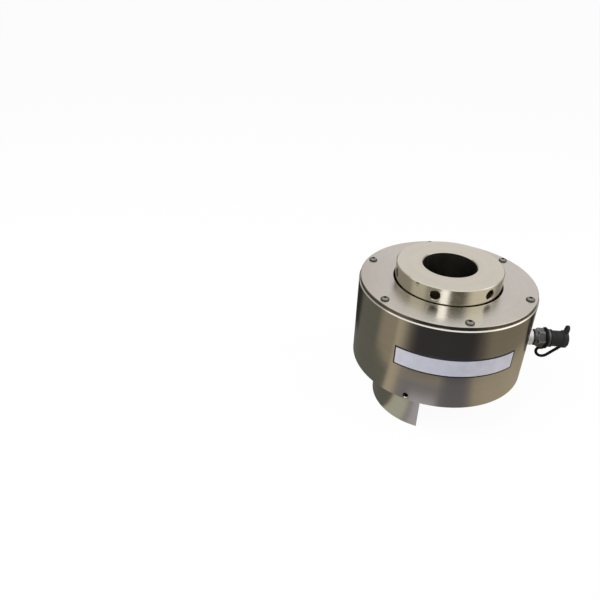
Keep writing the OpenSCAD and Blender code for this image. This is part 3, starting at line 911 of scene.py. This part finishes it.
@dataclass
class Puller:
    """Puller with the thread for the stud."""

    thread_r: float = 32 * MM
    pitch: float = 6 * MM
    low: float = 62 * MM
    high: float = 140 * MM
    root: float = 0.2 * MM
    per_turn: int = 64
    run_out: float = 0.55
    thinnest: float = 0.02
    polished: BoredMetal = BoredMetal("polished_puller", (0.632, 0.608, 0.5), rough=0.13,
                                      grain=0.03, groove=0.0004 * MM, lay=0.25, tool_marks=0.4)

    def thread(self) -> bpy.types.Object:
        """Ridge of the inside thread.

        A trapezoid, 0.54 of the pitch deep, 7/8 of it wide at its root and 1/4 at its crest, is
        carried along a helix at the thread's radius; it fades out over the first and last turn.

        Returns:
            the ridge
        """
        depth, root_w, crest_w = 0.541 * self.pitch, 7 / 8 * self.pitch, self.pitch / 4
        first, last = self.low + self.run_out * self.pitch, self.high - self.run_out * self.pitch
        turns = (last - first) / self.pitch
        turn = np.linspace(0, turns, int(turns * self.per_turn) + 1)[:, None]
        fade = np.clip(np.minimum(turn, turns - turn), self.thinnest, 1)
        inward = np.array([-self.root, depth, depth, -self.root])[None]
        beside = np.array([-root_w, -crest_w, crest_w, root_w])[None] / 2
        radius = self.thread_r - np.where(inward > 0, inward * fade, inward)
        height = first + turn * self.pitch + beside
        angle = 2 * np.pi * turn
        points = np.stack([radius * np.cos(angle), radius * np.sin(angle), height], -1)
        return Rings(points).piece("stud_thread", "puller", self.polished, "ground_steel", 35)

    def build(self) -> None:
        """Makes the thread and dresses the puller."""
        self.thread()
        dress(self.polished, "puller")


@dataclass
class Nipple:
    """Oil port's adaptor, the nipple and the valve in it."""

    wire: float = 0.8 * MM
    coil_r: float = 3.3 * MM
    low: float = 123.85 * MM
    high: float = 141.65 * MM
    turns: int = 7
    seat: float = 123.75 * MM
    travel: float = 2.5 * MM
    plated: TurnedMetal = TurnedMetal("plated_adaptor", (0.80, 0.80, 0.79), axis=Axis.PORT,
                                      rough=0.38, bare=0.5)
    oxide: BlackenedSteel = BlackenedSteel("black_oxide", (0.125, 0.128, 0.13), axis=Axis.PORT,
                                           rough=0.34, smudge=0.12, bare=0.7)
    bronze: TurnedMetal = TurnedMetal("poppet_bronze", (0.55, 0.36, 0.16), axis=Axis.PORT,
                                      rough=0.28)
    wire_steel: SpringWire = SpringWire("spring_steel", (0.30, 0.27, 0.22))
    washer: Rubber = Rubber("washer_rubber", (0.005, 0.005, 0.005),
                            bloom=(0.012, 0.012, 0.012))

    def spring(self) -> bpy.types.Object:
        """One coil, laid along the port's axis.

        Returns:
            the spring
        """
        one = coil(self.coil_r, self.wire, self.high - self.low, self.turns)
        points = np.stack([one[..., 2] + self.low, one[..., 0], one[..., 1] + PORT_Z], -1)
        made = Rings(points).piece("poppet_spring_coil", "cylinder",
                                   self.wire_steel, "spring_steel")
        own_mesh(made)
        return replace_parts(made, "poppet_spring")

    def build(self) -> None:
        """Makes the spring and dresses the nipple's parts."""
        self.spring()
        dress(self.plated, "port_adaptor")
        dress(self.oxide, "nipple", "spring_retainer")
        dress(self.bronze, "poppet")
        dress(self.washer, "port_seal", "nipple_washer")


@dataclass
class CapAndTether:
    """Dust cap, and the moulded strap that keeps it on the nipple."""

    strap_d: float = 3.8 * MM
    ring_x: float = 135.8 * MM
    loop_drop: float = 20.5 * MM
    loop_r: float = 4.6 * MM
    sag_r: float = 8.6 * MM
    end_x: float = 157.1 * MM
    end_drop: float = 15.3 * MM
    flare: float = 0.22
    flare_len: float = 1.2 * MM
    sides: int = 20
    loop_rings: int = 28
    sag_rings: int = 48
    straight_rings: int = 25
    rubber: Rubber = Rubber("cap_rubber", (0.022, 0.022, 0.0225), bloom=(0.045, 0.045, 0.046))
    ring: Rubber = Rubber("ring_rubber", (0.007, 0.007, 0.007), bloom=(0.015, 0.015, 0.015))

    def strap(self) -> bpy.types.Object:
        """Round strap: a quarter loop back from the ring, a wider sag and a tangent up to the cap.

        A circle is carried along the route, square to it, and swells by the flare within a
        millimetre or two of either end, where the strap was moulded on.

        Returns:
            the strap
        """
        sag_x = self.ring_x + self.sag_r - self.loop_r
        rise, run = self.loop_drop - self.end_drop, self.end_x - sag_x
        leave = 2 * math.pi + math.atan2(rise, run) - math.acos(self.sag_r / math.hypot(rise, run))
        loop = np.linspace(math.pi / 2, math.pi, self.loop_rings)
        turn = np.concatenate([loop, np.linspace(math.pi, leave, self.sag_rings)[1:]])
        radius = np.where(turn <= math.pi, self.loop_r, self.sag_r)
        middle = np.where(turn <= math.pi, self.ring_x, sag_x)
        bent = np.stack([middle + radius * np.cos(turn),
                         radius * np.sin(turn) - self.loop_drop], -1)
        share = np.linspace(0, 1, self.straight_rings)[1:, None]
        straight = bent[-1] + share * (np.array([self.end_x, -self.end_drop]) - bent[-1])
        route = np.concatenate([bent, straight])
        outward = np.concatenate([turn, np.full(len(straight), leave)])[:, None]
        steps = np.linalg.norm(np.diff(route, axis=0), axis=1)
        gone = np.concatenate([[0], np.cumsum(steps)])[:, None]
        near = np.minimum(gone, gone[-1] - gone) / self.flare_len
        radius = self.strap_d / 2 * (1 + self.flare * np.exp(-near * near))
        corner = 2 * np.pi * np.arange(self.sides)[None] / self.sides
        reach = radius * np.cos(corner)
        points = np.stack([route[:, :1] + reach * np.cos(outward), radius * np.sin(corner),
                           PORT_Z + route[:, 1:] + reach * np.sin(outward)], -1)
        made = Rings(points).piece("cap_strap", "", self.ring, "cap_rubber", 60)
        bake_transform(made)
        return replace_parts(made, "tether")

    def build(self) -> None:
        """Makes the strap and dresses the cap and its ring."""
        self.strap()
        dress(self.rubber, "dust_cap")
        dress(self.ring, "tether_ring")


class Tone(Enum):
    """Colour of a card beside the tool, at level 1."""

    TAN = (1.0, 0.87, 0.64)
    OLIVE = (1.0, 0.98, 0.82)
    GREY = (1.0, 0.95, 1.0)
    CREAM = (1.0, 0.935, 0.92)
    COOL = (0.95, 0.95, 1.15)

    def at(self, level: float) -> Colour:
        """The colour at another level."""
        return tuple(level * channel for channel in self.value)


TAN, OLIVE, GREY, CREAM, COOL = Tone


@dataclass(frozen=True)
class Card:
    """Soft-edged card beside the tool, a piece of a ring on the floor or of the wall round it.

    Its middle, half width and soft edge are azimuths in degrees. Near and far are distances from
    the axis on the floor, and heights on the wall.
    """

    middle: float
    half: float
    tone: Tone
    level: float
    near: float = 0.0
    far: float = 2.0
    soft: float = 5.0
    fade: float = 0.04

    def over(self, under: Any, graph: Graph, reach: Sock) -> Sock:
        """Lays the card on what is under it.

        Args:
            under: colour of what is under it
            graph: tree that the sockets belong to
            reach: distance from the axis, or height

        Returns:
            the colour with the card
        """
        x, y, _ = graph.place()
        turn = math.radians(self.middle)
        facing = (x * math.cos(turn) + y * math.sin(turn)) / x.length(y)
        edges = (self.half + self.soft, max(self.half - self.soft, 0.5))
        share = facing.rise(*(math.cos(math.radians(edge)) for edge in edges))
        share = share * reach.rise(self.near, self.near + self.fade)
        share = share * reach.rise(self.far + self.fade, self.far)
        return graph.mix(share, under, self.tone.at(self.level))


@dataclass(frozen=True)
class Lamp:
    """Soft square lamp that faces the tool."""

    name: str
    place: Point
    power: float
    size: float = 1.0
    target: Point = (0.0, 0.0, 0.1)

    def build(self) -> None:
        """Hangs the lamp at its place, turned to its target and hidden from mirrors."""
        light = bpy.data.lights.new(self.name, "AREA")
        light.shape, light.size, light.energy = "SQUARE", self.size, self.power
        made = bpy.data.objects.new(self.name, light)
        back = np.array(self.place) - np.array(self.target)
        back /= np.linalg.norm(back)
        side = np.cross([0, 0, 1], back)
        side /= np.linalg.norm(side)
        placed = np.eye(4)
        placed[:3] = np.stack([side, np.cross(back, side), back, self.place], -1)
        made.matrix_world = Matrix(placed.tolist())
        made.visible_glossy = False
        bpy.context.scene.collection.objects.link(made)


@dataclass
class Studio:
    """White floor, soft light and camera, and the dark and pale cards that metal needs round it.

    The camera's place and angles were fitted to the tool's own circles in the photograph.
    """

    eye: Point = (-135.5 * MM, -637.6 * MM, 528.5 * MM)
    pan: float = -4.409
    pitch: float = 31.489
    roll: float = -1.421
    focal: float = 570.1
    image: float = 600.0
    sensor: float = 36.0
    floor_half: float = 12.0
    floor_grey: Colour = (0.55, 0.55, 0.55)
    floor_white: float = 1.03
    floor_share: float = 0.92
    white: Colour = (1.0, 1.0, 1.0)
    sky: Colour = (1.0, 0.99, 0.97)
    sky_light: float = 0.55
    lamps: tuple[Lamp, ...] = (
        Lamp("key", (-0.9, -0.7, 1.5), 26.0),
        Lamp("fill", (1.2, -0.3, 1.1), 12.0))
    card_r: float = 1.25
    card_h: float = 1.2
    card_lift: float = 0.4 * MM
    card_sides: int = 72
    # dark disc under the tool, seen only in reflections: a painted shadow
    shadow_from: float = 0.06
    shadow_to: float = 0.075
    screen_from: float = 0.1
    screen_to: float = 0.35
    under: Colour = TAN.at(0.035)
    sheet: Colour = TAN.at(0.35)
    screen: Colour = CREAM.at(0.45)
    floor_cards: tuple[Card, ...] = (
        Card(150, 50, OLIVE, 0.14, soft=10),
        Card(130, 14, OLIVE, 0.03, near=0.2, soft=10),
        Card(-163, 16, OLIVE, 0.14, far=0.22, soft=8),
        Card(-155, 12, TAN, 0.3, near=0.24, soft=8),
        Card(-140, 4, TAN, 0.45),
        Card(-105, 28, GREY, 0.22, far=0.22, soft=8),
        Card(-106, 10, GREY, 0.5, near=0.04, far=0.18, soft=8),
        Card(-134, 10, OLIVE, 0.5, far=0.12, soft=6),
        Card(-75, 10, GREY, 0.15, near=0.13, soft=10),
        Card(-15, 45, TAN, 0.22, near=0.25, soft=10),
        Card(-92, 40, GREY, 0.04, near=0.24, soft=14),
        Card(-25, 25, TAN, 0.4, far=0.22, soft=10),
        Card(25, 8, TAN, 0.06, near=0.22))
    wall_cards: tuple[Card, ...] = (
        Card(-158, 17, CREAM, 1.0),
        Card(-101, 7, COOL, 4.0, near=0.6, far=1.1, fade=0.1),
        Card(-68, 20, TAN, 0.05),
        Card(-20, 30, CREAM, 1.4, soft=15),
        Card(75, 20, GREY, 0.9, soft=8))

    def camera(self) -> None:
        """Sets the camera from the fitted pan, pitch and roll."""
        pan, pitch, roll = (math.radians(a) for a in (self.pan, self.pitch, self.roll))
        level = math.cos(pitch)
        forward = np.array([math.sin(pan) * level, math.cos(pan) * level, -math.sin(pitch)])
        right = np.array([math.cos(pan), -math.sin(pan), 0.0])
        down = np.cross(forward, right)
        across = right * math.cos(roll) + down * math.sin(roll)
        below = down * math.cos(roll) - right * math.sin(roll)
        placed = np.eye(4)
        placed[:3] = np.stack([across, -below, -forward, self.eye], -1)
        lens = bpy.data.cameras.new("photo_camera")
        lens.sensor_width = self.sensor
        lens.lens = self.sensor * self.focal / self.image
        lens.clip_start, lens.clip_end = 0.01, 100.0
        made = bpy.data.objects.new("photo_camera", lens)
        made.matrix_world = Matrix(placed.tolist())
        bpy.context.scene.collection.objects.link(made)
        bpy.context.scene.camera = made

    @staticmethod
    def seen(graph: Graph) -> Sock:
        """Rays that show the background: from the camera, or by way of a mirror or glass.

        Args:
            graph: tree that the sockets belong to

        Returns:
            1 for such rays and 0 for others
        """
        rays = [graph.node("ShaderNodeLightPath", out=name)
                for name in ("Is Camera Ray", "Is Glossy Ray", "Is Transmission Ray")]
        return rays[0].most(rays[1]).most(rays[2])

    def flat(self, name: str, points: np.ndarray, faces: np.ndarray) -> bpy.types.Object:
        """Makes a stage object.

        Args:
            name: its name
            points: corners, in metres
            faces: corner indices

        Returns:
            the object, marked as stage
        """
        mesh = bpy.data.meshes.new(name)
        mesh.from_pydata(points.tolist(), [], faces.tolist())
        made = bpy.data.objects.new(name, mesh)
        bpy.context.scene.collection.objects.link(made)
        material = bpy.data.materials.new(name)
        material.use_nodes = True
        mesh.materials.append(material)
        return made

    def floor(self) -> None:
        """White floor that keeps a soft shadow."""
        h = self.floor_half
        corners = np.array([[-h, -h, 0], [h, -h, 0], [h, h, 0], [-h, h, 0]])
        made = self.flat("floor", corners, np.array([[0, 1, 2, 3]]))
        graph = Graph(made.data.materials[0].node_tree)
        matt = graph.node("ShaderNodeBsdfDiffuse", {}, {"Color": self.floor_grey})
        white = graph.node("ShaderNodeEmission", {},
                           {"Color": self.white, "Strength": self.floor_white})
        share = self.seen(graph) * self.floor_share
        both = graph.node("ShaderNodeMixShader", {}, {0: share, 1: matt, 2: white})
        graph.node("ShaderNodeOutputMaterial", {}, {"Surface": both})

    def cards(self) -> None:
        """Dark and pale cards on the floor and round it, which show only in polished surfaces.

        A disc and a wall in one lathe surface, with a sheet on the floor, a screen round it and the
        cards on both.
        """
        radius = np.array([0.0, 0.15, 0.4, self.card_r, self.card_r, self.card_r])
        height = np.array([self.card_lift] * 4 + [0.5 * self.card_h, self.card_h])
        ring = self.card_sides + 1
        angle = np.linspace(0, 2 * np.pi, ring)[None]
        points = np.stack([radius[:, None] * np.cos(angle), radius[:, None] * np.sin(angle),
                           height[:, None] + 0 * angle], -1)
        bands = len(radius) - 1
        row, col = np.meshgrid(np.arange(bands), np.arange(self.card_sides), indexing="ij")
        corner = (row * ring + col).ravel()
        faces = np.stack([corner, corner + 1, corner + ring + 1, corner + ring], -1)
        made = self.flat("cards", points.reshape(-1, 3), faces)
        graph = Graph(made.data.materials[0].node_tree)
        x, y, z = graph.place()
        away = x.length(y)
        low, high = self.sheet, self.screen
        for card in self.floor_cards:
            low = card.over(low, graph, away)
        for card in self.wall_cards:
            high = card.over(high, graph, z)
        # painted shadow under the tool, in the cards seen by reflections
        low = graph.mix(away.rise(self.shadow_from, self.shadow_to), self.under, low)
        colour = graph.mix(z.rise(self.screen_from, self.screen_to), low, high)
        glow = graph.node("ShaderNodeEmission", {}, {"Color": colour, "Strength": 1.0})
        graph.node("ShaderNodeOutputMaterial", {}, {"Surface": glow})
        made.visible_camera = False
        made.visible_diffuse = False
        made.visible_transmission = False
        made.visible_volume_scatter = False
        made.visible_shadow = False

    def world(self) -> None:
        """White to the eye and in reflections, and a soft even light otherwise."""
        made = bpy.data.worlds.new("studio")
        made.use_nodes = True
        bpy.context.scene.world = made
        graph = Graph(made.node_tree)
        soft = graph.node("ShaderNodeBackground", {},
                          {"Color": self.sky, "Strength": self.sky_light})
        white = graph.node("ShaderNodeBackground", {}, {"Color": self.white, "Strength": 1.0})
        both = graph.node("ShaderNodeMixShader", {}, {0: self.seen(graph), 1: soft, 2: white})
        graph.node("ShaderNodeOutputWorld", {}, {"Surface": both})

    def build(self) -> None:
        """Sets camera, floor, cards, lamps and world."""
        bpy.context.scene.view_settings.view_transform = "Standard"
        self.camera()
        self.floor()
        self.cards()
        for lamp in self.lamps:
            lamp.build()
        self.world()


def main() -> None:
    """Builds the studio and every sub-assembly."""
    logging.basicConfig(level=logging.INFO, format="%(name)s: %(message)s")
    for part in (Studio(), Housing(), Ram(), Puller(), Nipple(), CapAndTether()):
        part.build()
        log.info("built %s", type(part).__name__)


if __name__ == "__main__":
    main()
